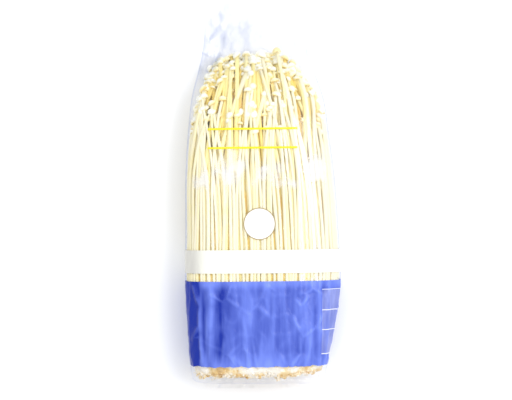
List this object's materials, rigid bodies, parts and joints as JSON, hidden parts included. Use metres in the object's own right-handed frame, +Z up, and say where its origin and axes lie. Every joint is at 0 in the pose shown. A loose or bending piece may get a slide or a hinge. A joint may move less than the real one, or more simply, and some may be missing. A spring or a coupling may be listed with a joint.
{
  "type": "enoki mushroom bunch",
  "caption": "Bunch of thin, small-capped enoki mushrooms grown from one base, with its pad of growing medium, lying in a clear film bag with two plain printed bands.",
  "frame": {"origin": "under the middle of the pack, on the surface it lies on", "axes": "+Y from the base of the bunch towards its caps, +Z up through the pack as it lies on its back, +X to the right seen from above"},
  "size_m": [0.0884, 0.2168, 0.036],
  "materials": {
    "mushroom_flesh": "moist, smooth cream-white flesh, golden brown deep between the stems",
    "growing_medium": "rough pressed sawdust and bran",
    "film": "clear glossy film with opaque blue and cream printed bands"
  },
  "bodies": {
    "root": {"mushroom_bunch": "mushroom_flesh", "growing_medium": "growing_medium", "film_bag": "film"}
  },
  "joints": []
}
